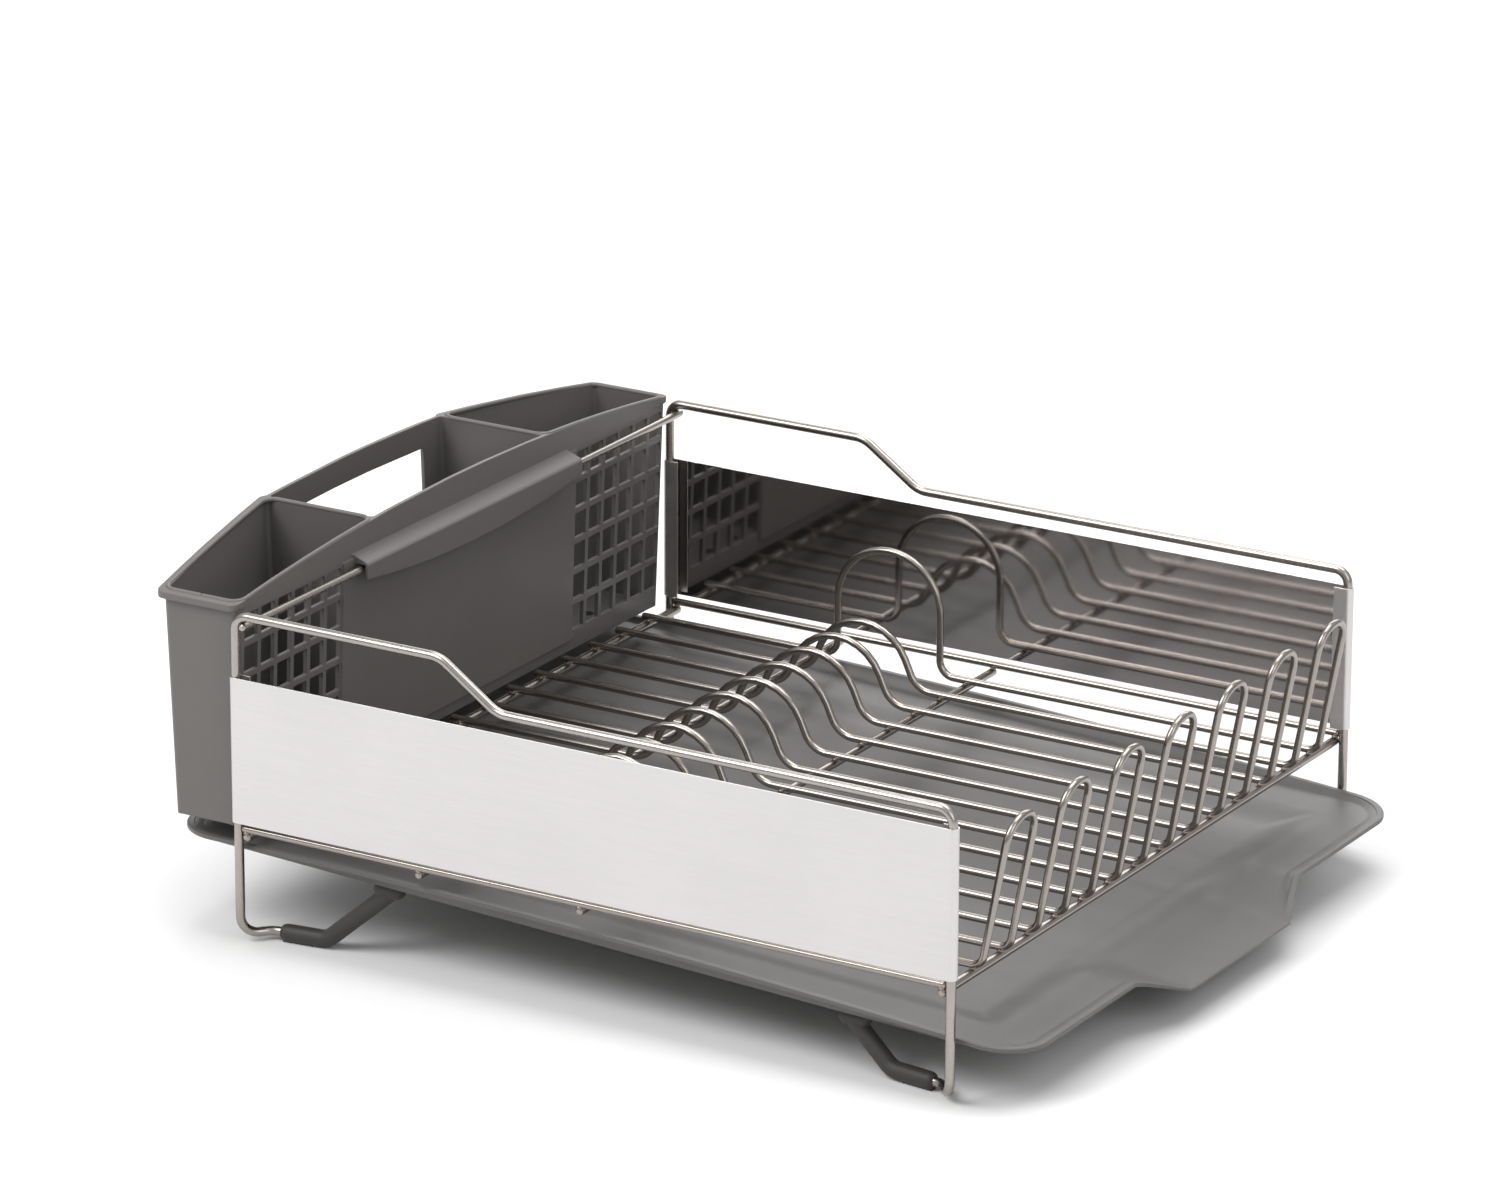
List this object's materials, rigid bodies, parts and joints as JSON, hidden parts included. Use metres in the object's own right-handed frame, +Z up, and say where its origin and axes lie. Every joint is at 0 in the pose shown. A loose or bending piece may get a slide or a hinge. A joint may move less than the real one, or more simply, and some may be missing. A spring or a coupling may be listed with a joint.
{
  "type": "dish drying rack",
  "caption": "Wire dish drying rack with sheet side panels, plate humps and hairpins, a sliding drip tray with a pouring spout, and a lift-off utensil caddy.",
  "frame": {"origin": "centre of the footprint, at the height of the counter that the four feet stand on", "axes": "+X from the utensil caddy toward the pouring spout, +Y across the rack toward the tall hoop, +Z up"},
  "size_m": [0.4861, 0.386, 0.1769],
  "materials": {
    "frame_steel": "satin",
    "panel_steel": "fine satin outside, polished inside",
    "wire_steel": "satin",
    "foot_rubber": "matte",
    "tray_plastic": "fine texture",
    "caddy_plastic": "fine texture"
  },
  "bodies": {
    "rack": {"side_frame_near": "frame_steel", "side_frame_far": "frame_steel", "back_top_rail": "frame_steel", "side_panel_near": "panel_steel", "side_panel_far": "panel_steel", "base_rail_near": "wire_steel", "base_rail_far": "wire_steel", "end_wire_back": "wire_steel", "end_wire_front": "wire_steel", "cross_wire_1": "wire_steel", "cross_wire_2": "wire_steel", "floor_pair_1": "wire_steel", "floor_pair_2": "wire_steel", "floor_pair_3": "wire_steel", "floor_pair_4": "wire_steel", "floor_pair_5": "wire_steel", "floor_pair_6": "wire_steel", "floor_pair_7": "wire_steel", "foot_sleeve_near_back": "foot_rubber", "foot_sleeve_near_front": "foot_rubber", "foot_sleeve_far_back": "foot_rubber", "foot_sleeve_far_front": "foot_rubber"},
    "tray": {"drip_tray": "tray_plastic"},
    "caddy": {"utensil_caddy": "caddy_plastic"}
  },
  "joints": [
    {"name": "tray_slide", "type": "slide", "parent": "rack", "child": "tray", "axis": [0.9991, 0, -0.0427], "range_m": [0, 0.45]},
    {"name": "caddy_lift", "type": "slide", "parent": "rack", "child": "caddy", "axis": [0, 0, 1], "range_m": [0, 0.13]}
  ]
}
